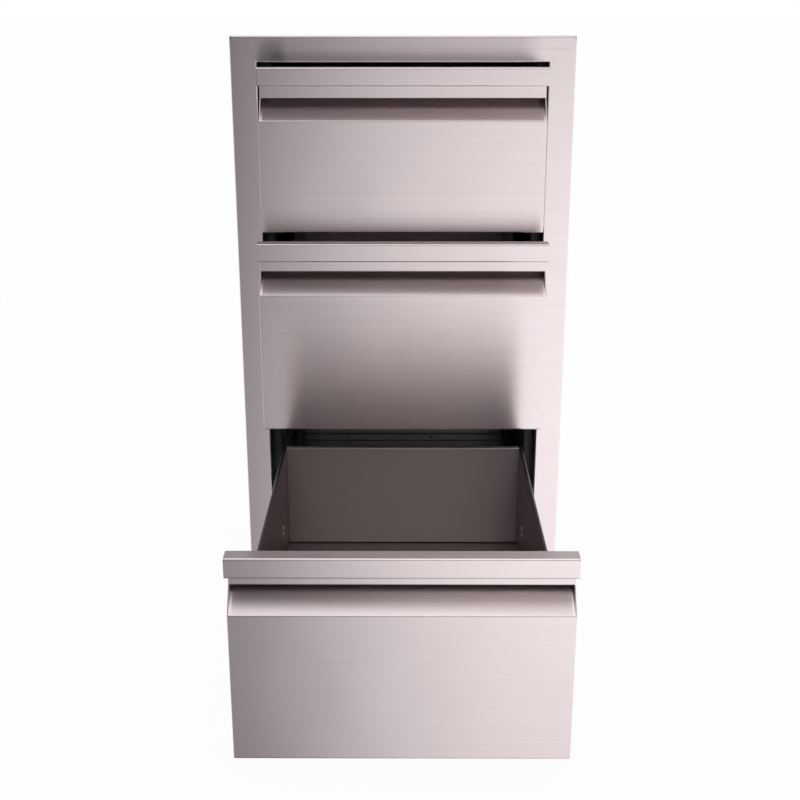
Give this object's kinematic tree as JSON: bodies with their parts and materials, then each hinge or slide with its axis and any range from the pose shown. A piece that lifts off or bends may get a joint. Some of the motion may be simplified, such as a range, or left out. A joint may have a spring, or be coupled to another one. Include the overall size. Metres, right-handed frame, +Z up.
{
  "type": "outdoor kitchen drawer unit",
  "caption": "Built-in stainless drawer unit for an outdoor kitchen: a flanged frame and case with full-width finger-pull drawers on telescopic slides.",
  "frame": {"origin": "centre of the case's underside, which rests on the floor of the cut-out", "axes": "+Z up, the drawers open along -Y, +X to the right as seen from the front"},
  "size_m": [0.432, 0.8828, 0.765],
  "materials": {
    "satin_stainless": "horizontal brushed grain, satin",
    "sheet_stainless": "plain mill finish sheet, dull satin",
    "slide_steel": "bright zinc plated, smooth",
    "fastener_steel": "plain, smooth",
    "cage_and_ball_steel": "polished"
  },
  "bodies": {
    "cabinet": {"face_frame": "satin_stainless", "case_left_side": "sheet_stainless", "case_right_side": "sheet_stainless", "case_top": "sheet_stainless", "case_bottom": "sheet_stainless", "case_back": "sheet_stainless", "rear_cross_rail": "sheet_stainless", "front_left_post": "slide_steel", "front_right_post": "slide_steel", "rear_left_post": "slide_steel", "rear_right_post": "slide_steel", "top_left_cabinet_member": "slide_steel", "top_right_cabinet_member": "slide_steel", "middle_left_cabinet_member": "slide_steel", "middle_right_cabinet_member": "slide_steel", "bottom_left_cabinet_member": "slide_steel", "bottom_right_cabinet_member": "slide_steel", "frame_nuts": "fastener_steel", "case_rivets": "fastener_steel", "back_screws": "fastener_steel", "slide_screws": "fastener_steel"},
    "top_drawer": {"top_front": "satin_stainless", "top_handle": "satin_stainless", "top_handle_end_caps": "satin_stainless", "top_inner_front": "sheet_stainless", "top_tray": "sheet_stainless", "top_box_back": "sheet_stainless", "top_left_drawer_member": "slide_steel", "top_right_drawer_member": "slide_steel", "top_rivets": "fastener_steel"},
    "top_left_intermediate": {"top_left_middle_member": "slide_steel", "top_left_ball_cages": "cage_and_ball_steel"},
    "top_right_intermediate": {"top_right_middle_member": "slide_steel", "top_right_ball_cages": "cage_and_ball_steel"},
    "middle_drawer": {"middle_front": "satin_stainless", "middle_handle": "satin_stainless", "middle_handle_end_caps": "satin_stainless", "middle_inner_front": "sheet_stainless", "middle_tray": "sheet_stainless", "middle_box_back": "sheet_stainless", "middle_left_drawer_member": "slide_steel", "middle_right_drawer_member": "slide_steel", "middle_rivets": "fastener_steel"},
    "middle_left_intermediate": {"middle_left_middle_member": "slide_steel", "middle_left_ball_cages": "cage_and_ball_steel"},
    "middle_right_intermediate": {"middle_right_middle_member": "slide_steel", "middle_right_ball_cages": "cage_and_ball_steel"},
    "bottom_drawer": {"bottom_front": "satin_stainless", "bottom_handle": "satin_stainless", "bottom_handle_end_caps": "satin_stainless", "bottom_inner_front": "sheet_stainless", "bottom_tray": "sheet_stainless", "bottom_box_back": "sheet_stainless", "bottom_left_drawer_member": "slide_steel", "bottom_right_drawer_member": "slide_steel", "bottom_rivets": "fastener_steel"},
    "bottom_left_intermediate": {"bottom_left_middle_member": "slide_steel", "bottom_left_ball_cages": "cage_and_ball_steel"},
    "bottom_right_intermediate": {"bottom_right_middle_member": "slide_steel", "bottom_right_ball_cages": "cage_and_ball_steel"}
  },
  "joints": [
    {"name": "top_drawer_slide", "type": "slide", "parent": "cabinet", "child": "top_drawer", "axis": [0, -1, 0], "range_m": [0, 0.44]},
    {"name": "top_left_intermediate_slide", "type": "slide", "parent": "cabinet", "child": "top_left_intermediate", "axis": [0, -1, 0], "range_m": [0, 0.22]},
    {"name": "top_right_intermediate_slide", "type": "slide", "parent": "cabinet", "child": "top_right_intermediate", "axis": [0, -1, 0], "range_m": [0, 0.22]},
    {"name": "middle_drawer_slide", "type": "slide", "parent": "cabinet", "child": "middle_drawer", "axis": [0, -1, 0], "range_m": [-0.063, 0.377]},
    {"name": "middle_left_intermediate_slide", "type": "slide", "parent": "cabinet", "child": "middle_left_intermediate", "axis": [0, -1, 0], "range_m": [-0.0315, 0.1885]},
    {"name": "middle_right_intermediate_slide", "type": "slide", "parent": "cabinet", "child": "middle_right_intermediate", "axis": [0, -1, 0], "range_m": [-0.0315, 0.1885]},
    {"name": "bottom_drawer_slide", "type": "slide", "parent": "cabinet", "child": "bottom_drawer", "axis": [0, -1, 0], "range_m": [-0.44, 0]},
    {"name": "bottom_left_intermediate_slide", "type": "slide", "parent": "cabinet", "child": "bottom_left_intermediate", "axis": [0, -1, 0], "range_m": [-0.22, 0]},
    {"name": "bottom_right_intermediate_slide", "type": "slide", "parent": "cabinet", "child": "bottom_right_intermediate", "axis": [0, -1, 0], "range_m": [-0.22, 0]}
  ],
  "couplings": [
    {"joint": "top_left_intermediate_slide", "follows": "top_drawer_slide", "ratio": 0.5},
    {"joint": "top_right_intermediate_slide", "follows": "top_drawer_slide", "ratio": 0.5},
    {"joint": "middle_left_intermediate_slide", "follows": "middle_drawer_slide", "ratio": 0.5},
    {"joint": "middle_right_intermediate_slide", "follows": "middle_drawer_slide", "ratio": 0.5},
    {"joint": "bottom_left_intermediate_slide", "follows": "bottom_drawer_slide", "ratio": 0.5},
    {"joint": "bottom_right_intermediate_slide", "follows": "bottom_drawer_slide", "ratio": 0.5}
  ]
}
